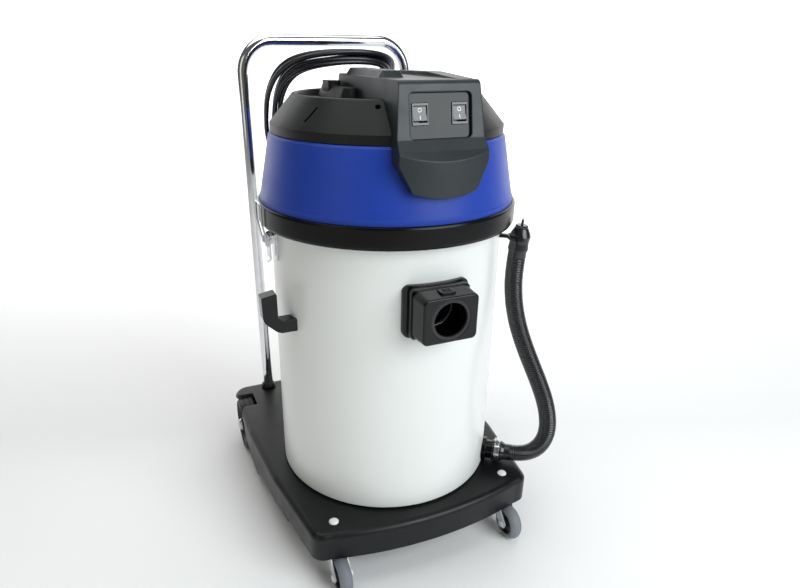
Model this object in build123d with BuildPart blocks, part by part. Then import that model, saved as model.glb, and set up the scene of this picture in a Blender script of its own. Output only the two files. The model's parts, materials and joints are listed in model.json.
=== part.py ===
from build123d import *
import os
from math import atan, cos, degrees, pi, radians, sin, tan

# Two-motor wet and dry drum vacuum on a four-wheel trolley.
# Millimetres, +Z up.  The pieces are drawn about the drum's upright axis with the
# floor at Z = 0 and the front towards -Y; save() moves each one back by AXIS_Y, so
# that the written origin is the middle of the machine's footprint on the floor.

os.makedirs("parts", exist_ok=True)

# ---------------------------------------------------------------- driving dimensions
AXIS_Y = -41.0                # the drum's axis, measured from the footprint's middle

BASE_TOP = 128.0              # trolley deck above the floor
BASE_RIM = 66.0               # lower edge of the deck's side walls
BASE_RIM_FRONT = 71.5         # lower edge where the casters swing under it
BASE_WALL = 5.0
DECK = 8.0                    # deck thickness
SEAT_DEPTH = 4.0              # the drum stands in a shallow seat

WHEEL_Y, WHEEL_Z = 283.0, 62.5
WHEEL_R = 62.5
WHEEL_IN, WHEEL_OUT = 234.0, 268.0
ARCH_R = 71.0
AXLE_R = 8.0

CASTER_X, CASTER_Y = 182.0, -195.0
CASTER_R = 35.0
CASTER_TRAIL = 40.0
CASTER_TREAD = 24.0
CASTER_HEAD = 92.0            # underside of the boss that the caster bolts to

TUBE_R, TUBE_WALL = 12.0, 1.8
TUBE_X, TUBE_Y, TUBE_TOP = 184.0, 332.0, 941.0
TUBE_BEND = 66.0

DRUM_LOW, DRUM_HIGH = BASE_TOP - SEAT_DEPTH, 658.0
DRUM_R_LOW, DRUM_R_HIGH = 217.0, 213.0
DRUM_WALL = 4.0

RING_LOW, RING_HIGH, RING_R = 645.0, 682.0, 235.0
SHROUD_LOW, SHROUD_HIGH = 680.0, 796.0
SHROUD_R_LOW, SHROUD_R_HIGH = 229.0, 207.5
COVER_LOW, COVER_EDGE, COVER_RIM, COVER_FLOOR = 797.0, 811.0, 858.0, 846.0
COVER_R_LOW, COVER_R_RIM = 204.0, 163.0

CONSOLE_TOP = 887.0
CONSOLE_FRONT_Y = -197.0
CONSOLE_HALF = 65.0
CONSOLE_REAR_Y = 62.0
TONGUE_R = 236.0              # the console's apron is curved about the drum's axis
PANEL_LEAN = degrees(atan(13 / 80))
SWITCH_X, SWITCH_Z = 32.5, 841.5
SWITCH_RECESS = 6.0

INLET_Z, INLET_FACE_Y = 537.0, -268.0
PORT_R = 32.0

HOSE_ANGLE = -38.0            # the drain hose hangs in the upright plane at this angle
HOSE_R = 17.0
CORD_R = 4.5
COIL_R = 17.0

SIDES = {"left": -1, "right": 1}


def save(piece, name):
    """Label a finished piece and write it in the machine's frame."""
    placed = piece.part.moved(Location((0, AXIS_Y, 0)))
    placed.label = name
    export_step(placed, f"parts/{name}.step")


def drum_radius(height):
    """Outer radius of the tapered drum at a height."""
    return DRUM_R_LOW + (DRUM_R_HIGH - DRUM_R_LOW) * (height - DRUM_LOW) / (DRUM_HIGH - DRUM_LOW)


def face_on(plane, *points):
    """A flat face with a straight-sided outline, on a plane."""
    with BuildSketch(plane) as outline:
        with BuildLine():
            Polyline(*points, close=True)
        make_face()
    return outline.sketch


def revolve_profile(*points, mode=Mode.ADD):
    """Turn a closed (radius, height) outline about the drum's axis in the open part."""
    revolve(face_on(Plane.XZ, *points), axis=Axis.Z, mode=mode)


def side_plane(x):
    """The upright plane across X at x, with local axes Y and Z."""
    return Plane(origin=(x, 0, 0), x_dir=(0, 1, 0), z_dir=(1, 0, 0))


def front_plane(y):
    """The upright plane across Y at y, with local axes X and Z."""
    return Plane(origin=(0, y, 0), x_dir=(1, 0, 0), z_dir=(0, -1, 0))


def mirrored_face(side, y, points):
    """A flat face across Y, its (x, z) outline taken to the left or right of the middle."""
    return face_on(front_plane(y), *[(side * x, z) for x, z in points])


def turned_x(y, z, *points, mode=Mode.ADD):
    """Turn a closed (x, radius) outline about the line along X through (y, z)."""
    plane = Plane(origin=(0, y, z), x_dir=(1, 0, 0), z_dir=(0, -1, 0))
    revolve(face_on(plane, *points), axis=Axis((0, y, z), (1, 0, 0)), mode=mode)


def turned_z(x, y, *points, mode=Mode.ADD):
    """Turn a closed (radius, z) outline about the upright line through (x, y)."""
    plane = Plane(origin=(x, y, 0), x_dir=(1, 0, 0), z_dir=(0, -1, 0))
    revolve(face_on(plane, *points), axis=Axis((x, y, 0), (0, 0, 1)), mode=mode)


def cut_drum():
    """Take the drum's outer surface away from the open part, so that it seats on it."""
    revolve_profile((0, 0), (drum_radius(0), 0), (drum_radius(700), 700), (0, 700), mode=Mode.SUBTRACT)


def box_between(low, high, mode=Mode.ADD):
    """An axis-aligned block between two opposite corners."""
    size = [b - a for a, b in zip(low, high)]
    with Locations(tuple((a + b) / 2 for a, b in zip(low, high))):
        Box(*size, mode=mode)


def cylinder_x(radius, x_low, x_high, y, z, mode=Mode.ADD):
    """A cylinder lying along X."""
    with Locations(Location(((x_low + x_high) / 2, y, z), (0, 90, 0))):
        Cylinder(radius, abs(x_high - x_low), mode=mode)


def cylinder_y(radius, y_low, y_high, x, z, mode=Mode.ADD):
    """A cylinder lying along Y."""
    with Locations(Location((x, (y_low + y_high) / 2, z), (90, 0, 0))):
        Cylinder(radius, abs(y_high - y_low), mode=mode)


def cylinder_z(radius, z_low, z_high, x=0.0, y=0.0, mode=Mode.ADD):
    """An upright cylinder."""
    with Locations((x, y, (z_low + z_high) / 2)):
        Cylinder(radius, z_high - z_low, mode=mode)


def bend_radii(route):
    """Arc radii that let each pair of runs of a route join as softly as they can."""
    radii = []
    for i in range(1, len(route) - 1):
        before = Vector(*route[i]) - Vector(*route[i - 1])
        after = Vector(*route[i + 1]) - Vector(*route[i])
        turn = radians(before.get_angle(after))
        radii.append(0.45 * min(before.length, after.length) / tan(turn / 2))
    return radii


def start_plane(route):
    """The plane square to a route at its first point."""
    return Plane(origin=route[0], z_dir=Vector(*route[1]) - Vector(*route[0]))


def report_tube(name, piece, path, radius, radii):
    """Print a tube's length, tightest bend and volume check."""
    ideal = pi * radius**2 * path.length
    print(f"{name}: length {path.length:.0f} mm, radii {[round(r) for r in radii]}")
    print(f"{name}: volume / (section x length) = {piece.part.volume / ideal:.4f}")


# ---------------------------------------------------------------- trolley platform
def platform_plan(height, inset=0.0):
    """Plan of the deck: narrow bowed nose, sides flaring to the rear wheels."""
    nose, shoulder = -252 + inset, -227 + inset
    with BuildSketch(Plane.XY.offset(height)) as plan:
        with BuildLine():
            ThreePointArc((-195, shoulder), (0, nose), (195, shoulder))
            Polyline(
                (195, shoulder),
                (227 - inset, shoulder + 5),
                (257 - inset, -28),
                (270 - inset, 150),
                (270 - inset, 357 - inset),
                (-270 + inset, 357 - inset),
                (-270 + inset, 150),
                (-257 + inset, -28),
                (-227 + inset, shoulder + 5),
                (-195, shoulder),
            )
        make_face()
        fillet(plan.vertices().group_by(Axis.Y)[-1], radius=34 - inset)
        front = plan.vertices().filter_by_position(Axis.Y, shoulder + 4, shoulder + 6)
        fillet(front, radius=26 - inset)
    return plan.sketch


with BuildPart() as base_platform:
    extrude(platform_plan(BASE_RIM), amount=BASE_TOP - BASE_RIM)
    fillet(faces().sort_by(Axis.Z)[-1].edges(), radius=12)
    extrude(platform_plan(BASE_RIM, BASE_WALL), amount=BASE_TOP - DECK - BASE_RIM, mode=Mode.SUBTRACT)
    # a wheel housing hangs below the deck at each rear corner
    for side in (-1, 1):
        housing = face_on(
            side_plane(side * 237.5),
            (62, BASE_RIM),
            (108, 34),
            (128, 20),
            (200, 20),
            (222, 34),
            (322, 40),
            (346, 50),
            (357, 50),
            (357, BASE_TOP - DECK),
            (62, BASE_TOP - DECK),
        )
        extrude(housing, amount=26, both=True)
    # stiffening ribs under the deck, trimmed with the housings to the deck's outline
    for x in (-96, 0, 96):
        box_between((x - 2.5, -232, 98), (x + 2.5, 354, BASE_TOP - DECK))
    for y in (-130, 0, 130):
        box_between((-250, y - 2.5, 98), (250, y + 2.5, BASE_TOP - DECK))
    extrude(platform_plan(10), amount=BASE_TOP, mode=Mode.INTERSECT)
    # the forward part of each housing is hollow from below
    for side in (-1, 1):
        hollow = face_on(
            side_plane(side * 237.5), (70, 10), (70, 66), (84, 114), (204, 114), (204, 10)
        )
        extrude(hollow, amount=21, both=True, mode=Mode.SUBTRACT)
    # wheel wells, open below and to the side
    for side in (-1, 1):
        inner, outer = sorted((side * 229, side * 290))
        cylinder_x(ARCH_R, inner, outer, WHEEL_Y, WHEEL_Z, mode=Mode.SUBTRACT)
        box_between((inner, WHEEL_Y - 58, -5), (outer, WHEEL_Y + 58, 42), mode=Mode.SUBTRACT)
    # the front walls are a little shallower where the casters swing under them
    box_between((-290, -300, 40), (290, -95, BASE_RIM_FRONT), mode=Mode.SUBTRACT)
    # bosses for the caster bolts and sockets for the handle tube
    for side in (-1, 1):
        cylinder_z(24, CASTER_HEAD, BASE_TOP - DECK, side * CASTER_X, CASTER_Y)
        cylinder_z(17, 78, BASE_TOP - DECK, side * TUBE_X, TUBE_Y)
    for side in (-1, 1):
        cylinder_z(5.05, 80, BASE_TOP + 2, side * CASTER_X, CASTER_Y, mode=Mode.SUBTRACT)
        cylinder_z(TUBE_R, 82, BASE_TOP + 2, side * TUBE_X, TUBE_Y, mode=Mode.SUBTRACT)
    cylinder_z(DRUM_R_LOW + 0.4, DRUM_LOW, BASE_TOP + 5, mode=Mode.SUBTRACT)
    cylinder_x(AXLE_R, -300, 300, WHEEL_Y, WHEEL_Z, mode=Mode.SUBTRACT)
save(base_platform, "base_platform")

# ---------------------------------------------------------------- handle
with BuildPart() as handle_tube:
    with BuildLine() as handle_path:
        FilletPolyline(
            (-TUBE_X, TUBE_Y, 82),
            (-TUBE_X, TUBE_Y, TUBE_TOP),
            (TUBE_X, TUBE_Y, TUBE_TOP),
            (TUBE_X, TUBE_Y, 82),
            radius=TUBE_BEND,
        )
    with BuildSketch(Plane(origin=(-TUBE_X, TUBE_Y, 82), z_dir=(0, 0, 1))):
        Circle(TUBE_R)
        Circle(TUBE_R - TUBE_WALL, mode=Mode.SUBTRACT)
    sweep(path=handle_path.wire())
save(handle_tube, "handle_tube")

with BuildPart() as handle_collars:
    for side in SIDES.values():
        collar = [(12, 128), (17.5, 128), (17.5, 133), (14.2, 139), (12, 139)]
        turned_z(side * TUBE_X, TUBE_Y, *collar)
save(handle_collars, "handle_collars")

# ---------------------------------------------------------------- rear axle and wheels
with BuildPart() as rear_axle:
    cylinder_x(AXLE_R, -274, 274, WHEEL_Y, WHEEL_Z)
    chamfer(edges().filter_by(GeomType.CIRCLE), length=1)
save(rear_axle, "rear_axle")

with BuildPart() as axle_caps:
    for side in SIDES.values():
        outer = side * WHEEL_OUT
        turned_x(
            WHEEL_Y,
            WHEEL_Z,
            (outer + side * 0.4, 8),
            (outer + side * 0.4, 14),
            (outer + side * 5, 12),
            (outer + side * 8, 7),
            (outer + side * 8, 0),
            (outer + side * 6, 0),
            (outer + side * 6, 8),
        )
save(axle_caps, "axle_caps")

for name, side in SIDES.items():
    inner, outer = side * WHEEL_IN, side * WHEEL_OUT
    middle = (inner + outer) / 2
    with BuildPart() as rear_tyre:
        turned_x(
            WHEEL_Y,
            WHEEL_Z,
            (inner, 50),
            (inner, 59),
            (inner + side * 5, WHEEL_R),
            (outer - side * 5, WHEEL_R),
            (outer, 59),
            (outer, 50),
        )
        for groove in (middle - 6, middle + 6):
            turned_x(
                WHEEL_Y,
                WHEEL_Z,
                (groove - 1.2, WHEEL_R - 2),
                (groove + 1.2, WHEEL_R - 2),
                (groove + 1.2, WHEEL_R + 2),
                (groove - 1.2, WHEEL_R + 2),
                mode=Mode.SUBTRACT,
            )
    save(rear_tyre, f"rear_tyre_{name}")
    with BuildPart() as rear_hub:
        turned_x(
            WHEEL_Y,
            WHEEL_Z,
            (inner + side * 1, AXLE_R + 0.06),
            (outer - side * 1, AXLE_R + 0.06),
            (outer - side * 1, 15),
            (outer - side * 8, 18),
            (outer - side * 8, 40),
            (outer - side * 2, 44),
            (outer - side * 2, 50),
            (inner + side * 2, 50),
            (inner + side * 2, 44),
            (inner + side * 14, 40),
            (inner + side * 14, 18),
            (inner + side * 1, 15),
        )
        for spoke_gap in range(6):
            angle = radians(60 * spoke_gap + 30)
            y, z = WHEEL_Y + 29 * cos(angle), WHEEL_Z + 29 * sin(angle)
            cylinder_x(6.5, inner, outer, y, z, mode=Mode.SUBTRACT)
    save(rear_hub, f"rear_hub_{name}")

# ---------------------------------------------------------------- front casters
PIN_Y = CASTER_Y - CASTER_TRAIL
with BuildPart() as caster_bolts:
    for side in SIDES.values():
        x = side * CASTER_X
        cylinder_z(5.0, 74, BASE_TOP, x, CASTER_Y)
        cylinder_z(8.5, 74, 77.9, x, CASTER_Y)
        head = [(0, BASE_TOP), (9, BASE_TOP), (9, BASE_TOP + 1.4), (7, BASE_TOP + 3.4)]
        turned_z(x, CASTER_Y, *head, (4, BASE_TOP + 4.6), (0, BASE_TOP + 5))
save(caster_bolts, "caster_bolts")

for name, side in SIDES.items():
    x, half = side * CASTER_X, CASTER_TREAD / 2
    with BuildPart() as caster_fork:
        # swivel cup over the ball race, then two legs that reach to the wheel's pin
        turned_z(
            x, CASTER_Y, (5.06, 78), (20, 78), (21, 82), (20, 87), (15, 91.6), (5.06, 91.6)
        )
        for leg in (-1, 1):
            with BuildSketch(side_plane(x + leg * (half + 3.5))) as leg_plan:
                with BuildLine():
                    Polyline(
                        (CASTER_Y + 16, 81),
                        (CASTER_Y - 14, 81),
                        (CASTER_Y - 25, 66),
                        (PIN_Y - 11, CASTER_R + 3),
                        (PIN_Y - 7, CASTER_R - 9),
                        (PIN_Y + 6, CASTER_R - 10),
                        (PIN_Y + 12, CASTER_R - 2),
                        (CASTER_Y + 16, 68),
                        close=True,
                    )
                make_face()
                fillet(leg_plan.vertices().sort_by(Axis.Y)[:2], radius=5)
            extrude(amount=1.25, both=True)
        box_between((x - half - 4.75, CASTER_Y - 14, 78), (x + half + 4.75, CASTER_Y + 16, 81))
        cylinder_z(5.06, 60, 95, x, CASTER_Y, mode=Mode.SUBTRACT)
        cylinder_x(4.0, x - 30, x + 30, PIN_Y, CASTER_R, mode=Mode.SUBTRACT)
    save(caster_fork, f"caster_fork_{name}")
    with BuildPart() as caster_pin:
        cylinder_x(4.0, x - 18.5, x + 18.5, PIN_Y, CASTER_R)
        cylinder_x(6.5, x - 20, x - half - 4.75, PIN_Y, CASTER_R)
        cylinder_x(6.5, x + half + 4.75, x + 20, PIN_Y, CASTER_R)
    save(caster_pin, f"caster_pin_{name}")
    with BuildPart() as caster_tyre:
        with BuildSketch(Plane(origin=(0, PIN_Y, CASTER_R), x_dir=(1, 0, 0), z_dir=(0, -1, 0))):
            with BuildLine():
                ThreePointArc((x - half, CASTER_R - 6), (x, CASTER_R), (x + half, CASTER_R - 6))
                Polyline(
                    (x + half, CASTER_R - 6), (x + half, 24), (x - half, 24), (x - half, CASTER_R - 6)
                )
            make_face()
        revolve(axis=Axis((0, PIN_Y, CASTER_R), (1, 0, 0)))
    save(caster_tyre, f"caster_tyre_{name}")
    with BuildPart() as caster_hub:
        turned_x(
            PIN_Y,
            CASTER_R,
            (x - 14, 4.06),
            (x + 14, 4.06),
            (x + 14, 9),
            (x + 5, 10),
            (x + 5, 21),
            (x + half - 1, 22),
            (x + half - 1, 24),
            (x - half + 1, 24),
            (x - half + 1, 22),
            (x - 5, 21),
            (x - 5, 10),
            (x - 14, 9),
        )
    save(caster_hub, f"caster_hub_{name}")

# ---------------------------------------------------------------- tank
OUT_X, OUT_Y = cos(radians(HOSE_ANGLE)), sin(radians(HOSE_ANGLE))
DRAIN_Z = 153.0
DRAIN_PLANE = Plane(origin=(0, 0, 0), x_dir=(OUT_X, OUT_Y, 0), z_dir=(OUT_Y, -OUT_X, 0))


def drain_turned(*points, mode=Mode.ADD):
    """Turn a closed (distance from the drum's axis, radius) outline about the outlet's axis."""
    profile = face_on(DRAIN_PLANE, *[(reach, DRAIN_Z + r) for reach, r in points])
    revolve(profile, axis=Axis((0, 0, DRAIN_Z), (OUT_X, OUT_Y, 0)), mode=mode)


def hose_point(reach, height):
    """A point in the upright plane that the drain hose hangs in."""
    return (reach * OUT_X, reach * OUT_Y, height)


with BuildPart() as tank_drum:
    revolve_profile(
        (0, DRUM_LOW),
        (DRUM_R_LOW - 9, DRUM_LOW),
        (drum_radius(DRUM_LOW + 9), DRUM_LOW + 9),
        (drum_radius(648), 648),
        (DRUM_R_HIGH + 6, 650),
        (DRUM_R_HIGH + 6, DRUM_HIGH),
        (DRUM_R_HIGH - DRUM_WALL, DRUM_HIGH),
        (DRUM_R_HIGH - DRUM_WALL, 640),
        (drum_radius(DRUM_LOW + 18) - DRUM_WALL, DRUM_LOW + 18),
        (DRUM_R_LOW - 18, DRUM_LOW + 5),
        (0, DRUM_LOW + 5),
    )
    cylinder_y(PORT_R, -240, -180, 0, INLET_Z, mode=Mode.SUBTRACT)
    drain_turned((200, 0), (230, 0), (230, 13), (200, 13), mode=Mode.SUBTRACT)
save(tank_drum, "tank_drum")

with BuildPart() as inlet_housing:
    with BuildSketch(front_plane(INLET_FACE_Y)):
        with Locations((0, INLET_Z)):
            RectangleRounded(97, 78, 9)
    extrude(amount=-70, taper=-4)
    fillet(faces().sort_by(Axis.Y)[0].outer_wire().edges(), radius=3)
    with BuildSketch(front_plane(-200)) as flange:
        with Locations((0, INLET_Z)):
            RectangleRounded(118, 92, 12)
    extrude(amount=30)
    beyond_flange = face_on(Plane.XZ, (221, 470), (300, 470), (300, 610), (221, 610))
    with BuildSketch(front_plane(INLET_FACE_Y - 10)) as around:
        with Locations((0, INLET_Z)):
            Rectangle(220, 160)
            RectangleRounded(106, 87, 9, mode=Mode.SUBTRACT)
    with BuildPart(mode=Mode.PRIVATE) as trim:
        revolve(beyond_flange, axis=Axis.Z)
        extrude(around.sketch, amount=-120, mode=Mode.INTERSECT)
    add(trim.part, mode=Mode.SUBTRACT)
    cut_drum()
    cylinder_y(PORT_R, -280, -180, 0, INLET_Z, mode=Mode.SUBTRACT)
    cylinder_y(PORT_R + 3, INLET_FACE_Y - 1, INLET_FACE_Y + 5, 0, INLET_Z, mode=Mode.SUBTRACT)
    box_between((-13.2, -256, INLET_Z + 30), (13.2, -237.8, INLET_Z + 60), mode=Mode.SUBTRACT)
save(inlet_housing, "inlet_housing")

with BuildPart() as inlet_seal:
    cylinder_y(PORT_R + 3, INLET_FACE_Y + 0.5, INLET_FACE_Y + 5, 0, INLET_Z)
    cylinder_y(PORT_R - 2.5, INLET_FACE_Y, INLET_FACE_Y + 6, 0, INLET_Z, mode=Mode.SUBTRACT)
save(inlet_seal, "inlet_seal")

with BuildPart() as inlet_button:
    box_between((-13, -255.8, INLET_Z + 33), (13, -238, INLET_Z + 43.5))
    fillet(edges().filter_by(Axis.Z), radius=2.5)
    fillet(faces().sort_by(Axis.Z)[-1].edges(), radius=1.2)
    for tick in (-4, 0, 4):
        box_between((-8, -247.5 + tick, INLET_Z + 43), (8, -246.3 + tick, INLET_Z + 44.3))
save(inlet_button, "inlet_button")

with BuildPart() as inlet_deflector:
    cylinder_y(PORT_R + 4, -211, -142, 0, INLET_Z)
    cylinder_y(PORT_R, -212, -146, 0, INLET_Z, mode=Mode.SUBTRACT)
    box_between((-60, -200, INLET_Z - 60), (60, -146, INLET_Z - 8), mode=Mode.SUBTRACT)
    revolve_profile((207, 400), (300, 400), (300, 700), (207, 700), mode=Mode.SUBTRACT)
save(inlet_deflector, "inlet_deflector")

# the grips face each other across the drum, the left one ahead of its middle
GRIP_Y = 65.0
with BuildPart() as side_grips:
    for side in SIDES.values():
        grip = [
            (195, 470), (228, 470), (237, 474), (256, 492), (259, 500),
            (260, 540), (233, 545), (233, 499), (227, 493), (195, 493),
        ]
        extrude(mirrored_face(side, side * GRIP_Y, grip), amount=12, both=True)
    fillet(edges().filter_by(Axis.Y), radius=2.5)
    cut_drum()
save(side_grips, "side_grips")

# ---------------------------------------------------------------- head latches
PIVOT_X, PIVOT_Z = 221.5, 622.0
BAIL_X, BAIL_Z = 230.0, 614.0
BAIL_R = 1.75
with BuildPart() as latch_plates:
    for low, high in ((-218, -205), (205, 218)):
        box_between((low, -19, 583), (high, 19, 641))
    fillet(edges().filter_by(Axis.X), radius=4)
    revolve_profile((216.2, 560), (260, 560), (260, 650), (216.2, 650), mode=Mode.SUBTRACT)
    for side in SIDES.values():
        for ear_y in (-16.3, 16.3):
            ear = [(210, 615), (224, 615), (226, 618), (226, 626), (223, 629), (210, 629)]
            extrude(mirrored_face(side, ear_y, ear), amount=1.2, both=True)
    cut_drum()
    for side in SIDES.values():
        cylinder_y(2.0, -20, 20, side * PIVOT_X, PIVOT_Z, mode=Mode.SUBTRACT)
save(latch_plates, "latch_plates")

with BuildPart() as latch_pins:
    for side in SIDES.values():
        cylinder_y(2.0, -17.9, 17.9, side * PIVOT_X, PIVOT_Z)
        cylinder_y(3.2, -19.2, -17.6, side * PIVOT_X, PIVOT_Z)
        cylinder_y(3.2, 17.6, 19.2, side * PIVOT_X, PIVOT_Z)
save(latch_pins, "latch_pins")

for name, side in SIDES.items():
    with BuildPart() as latch_lever:
        shell = [(223.6, 586), (225.8, 586), (225.8, 627), (223.6, 627)]
        extrude(mirrored_face(side, 0, shell), amount=14, both=True)
        lip = [(223.6, 586), (226, 583), (231, 580), (232, 582), (227.5, 584.5), (225.8, 588)]
        extrude(mirrored_face(side, 0, lip), amount=14, both=True)
        for cheek_y in (-13, 13):
            cheek = [
                (218, 619), (218, 625), (220, 627), (227, 627),
                (233, 618), (233, 611), (225, 607), (223.6, 612),
            ]
            extrude(mirrored_face(side, cheek_y, cheek), amount=1, both=True)
        cylinder_y(2.06, -20, 20, side * PIVOT_X, PIVOT_Z, mode=Mode.SUBTRACT)
        cylinder_y(BAIL_R + 0.06, -20, 20, side * BAIL_X, BAIL_Z, mode=Mode.SUBTRACT)
    save(latch_lever, f"latch_lever_{name}")
    with BuildPart() as latch_bail:
        with BuildLine() as bail_path:
            FilletPolyline(
                (side * BAIL_X, -11, BAIL_Z),
                (side * BAIL_X, -20, BAIL_Z),
                (side * 237.8, -20, 652),
                (side * 237.8, -20, 686),
                (side * 237.8, 20, 686),
                (side * 237.8, 20, 652),
                (side * BAIL_X, 20, BAIL_Z),
                (side * BAIL_X, 11, BAIL_Z),
                radius=[3, 12, 7, 7, 12, 3],
            )
        with BuildSketch(Plane(origin=(side * BAIL_X, -11, BAIL_Z), z_dir=(0, -1, 0))):
            Circle(BAIL_R)
        sweep(path=bail_path.wire())
    save(latch_bail, f"latch_bail_{name}")

# ---------------------------------------------------------------- drain outlet and hose
with BuildPart() as drain_spigot:
    drain_turned(
        (206, 10), (262, 10), (262, 13.5), (236, 13.5), (236, 19), (224, 19), (224, 24.3), (206, 24.3)
    )
    cut_drum()
    drain_turned((205, 10), (226, 10), (226, 12.95), (205, 12.95))
save(drain_spigot, "drain_spigot")

with BuildPart() as drain_cuff:
    drain_turned((237, 13.6), (262, 13.6), (262, 17.6), (256, 20.5), (240, 21.5), (237, 21.5))
save(drain_cuff, "drain_cuff")

with BuildPart() as drain_clamp:
    drain_turned((242, 21.6), (252, 21.6), (252, 23.2), (242, 23.2))
    tower = Location(hose_point(247, DRAIN_Z + 24), (0, 0, HOSE_ANGLE))
    with Locations(tower):
        Box(12, 13, 5)
    drain_turned((240, 0), (254, 0), (254, 21.6), (240, 21.6), mode=Mode.SUBTRACT)
save(drain_clamp, "drain_clamp")

with BuildPart() as clamp_screw:
    across = Vector(-OUT_Y, OUT_X, 0)
    screw_middle = Vector(*hose_point(247, DRAIN_Z + 29.6))
    with BuildSketch(Plane(origin=screw_middle - 10 * across, z_dir=across)):
        Circle(3.1)
    extrude(amount=17)
    with BuildSketch(Plane(origin=screw_middle - 13 * across, z_dir=across)):
        RegularPolygon(4.6, 6)
    extrude(amount=4)
save(clamp_screw, "clamp_screw")

HOSE_ROUTE = [
    (262, 153), (284, 153), (305, 157.5), (324, 170), (337, 191), (343, 218),
    (341, 250), (331, 289), (314, 330), (294, 372), (274, 416), (258, 461),
    (248, 508), (245, 556), (248, 596),
]
hose_points = [hose_point(*point) for point in HOSE_ROUTE]
with BuildPart() as drain_hose:
    with BuildLine() as hose_path:
        FilletPolyline(*hose_points, radius=bend_radii(hose_points))
    with BuildSketch(start_plane(hose_points)):
        Circle(HOSE_R)
    sweep(path=hose_path.wire())
report_tube("drain_hose", drain_hose, hose_path.wire(), HOSE_R, bend_radii(hose_points))
save(drain_hose, "drain_hose")

CUFF_FOOT = Vector(*hose_points[-1])
CUFF_UP = (CUFF_FOOT - Vector(*hose_points[-2])).normalized()
CUFF_SIDE = Vector(OUT_Y, -OUT_X, 0)


def cuff_turned(*points):
    """Turn a closed (radius, height above the hose's end) outline about the cuff's axis."""
    plane = Plane(origin=CUFF_FOOT, x_dir=CUFF_SIDE, z_dir=CUFF_SIDE.cross(CUFF_UP))
    revolve(face_on(plane, *points), axis=Axis(CUFF_FOOT, CUFF_UP))


with BuildPart() as hose_cuff:
    cuff_turned(
        (0, 0), (17.6, 0), (18.3, 2), (17.2, 14), (18.8, 27), (17.2, 32),
        (12.5, 41), (6.1, 41), (6.1, 20), (0, 20),
    )
save(hose_cuff, "hose_cuff")

with BuildPart() as drain_plug:
    cuff_turned((0, 24), (6, 24), (6, 41.3), (11.5, 41.3), (11.5, 45), (10, 46.5), (0, 46.5))
    with Locations(Plane(origin=CUFF_FOOT + CUFF_UP * 51, x_dir=CUFF_SIDE, z_dir=CUFF_UP)):
        Box(12, 4.5, 12)
save(drain_plug, "drain_plug")

with BuildPart() as hose_clip:
    ring_x, ring_y, _ = hose_point(249.6, 0)
    cylinder_z(22.4, 617, 623, ring_x, ring_y)
    with Locations(Location(hose_point(219, 620), (0, 0, HOSE_ANGLE))):
        Box(26, 9, 6)
    cylinder_z(20.0, 612, 628, ring_x, ring_y, mode=Mode.SUBTRACT)
    with Locations(Location(hose_point(271, 620), (0, 0, HOSE_ANGLE))):
        Box(26, 50, 12, mode=Mode.SUBTRACT)
    cut_drum()
save(hose_clip, "hose_clip")

# ---------------------------------------------------------------- head: ring, shroud, cover
with BuildPart() as head_ring:
    revolve_profile(
        (221, RING_LOW),
        (RING_R - 2, RING_LOW),
        (RING_R, RING_LOW + 5),
        (RING_R, RING_HIGH - 4),
        (RING_R - 1.5, RING_HIGH - 1),
        (RING_R - 4, RING_HIGH),
        (SHROUD_R_LOW + 0.6, RING_HIGH),
        (SHROUD_R_LOW + 0.6, RING_HIGH - 2),
        (200, RING_HIGH - 2),
        (200, 672),
        (54, 672),
        (54, 664),
        (221, 664),
    )
    for x in (-78, 78):
        cylinder_z(22, 660, 675, x, 0, mode=Mode.SUBTRACT)
save(head_ring, "head_ring")

with BuildPart() as head_gasket:
    revolve_profile((208, 658.3), (218.5, 658.3), (218.5, 664), (208, 664))
save(head_gasket, "head_gasket")


def shroud_radius(height):
    """Outer radius of the coloured shroud at a height above its step."""
    low, high = SHROUD_LOW + 12, SHROUD_HIGH - 4
    return SHROUD_R_LOW - 1.5 + (SHROUD_R_HIGH - SHROUD_R_LOW + 1.5) * (height - low) / (high - low)


with BuildPart() as motor_shroud:
    with BuildSketch(Plane.XZ) as shroud_wall:
        with BuildLine():
            Polyline(
                (SHROUD_R_LOW, SHROUD_LOW),
                (SHROUD_R_LOW, SHROUD_LOW + 10),
                (SHROUD_R_LOW - 1.5, SHROUD_LOW + 12),
                (SHROUD_R_HIGH, SHROUD_HIGH - 4),
                (SHROUD_R_HIGH - 4, SHROUD_HIGH),
                (192, SHROUD_HIGH),
                (192, SHROUD_HIGH - 3.5),
                (SHROUD_R_HIGH - 7, SHROUD_HIGH - 3.5),
                (SHROUD_R_LOW - 5.5, SHROUD_LOW + 12),
                (SHROUD_R_LOW - 5.5, SHROUD_LOW),
                close=True,
            )
        make_face()
        edge = shroud_wall.vertices().sort_by_distance((SHROUD_R_HIGH, 0, SHROUD_HIGH - 4))[0]
        fillet(edge, radius=4)
    revolve(axis=Axis.Z)
    # exhaust louvres at the back
    for slot in range(-4, 5):
        angle = 90 + 7 * slot
        centre = (218 * cos(radians(angle)), 218 * sin(radians(angle)), 738)
        with Locations(Location(centre, (0, 0, angle))):
            Box(40, 9, 46, mode=Mode.SUBTRACT)
save(motor_shroud, "motor_shroud")

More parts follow.
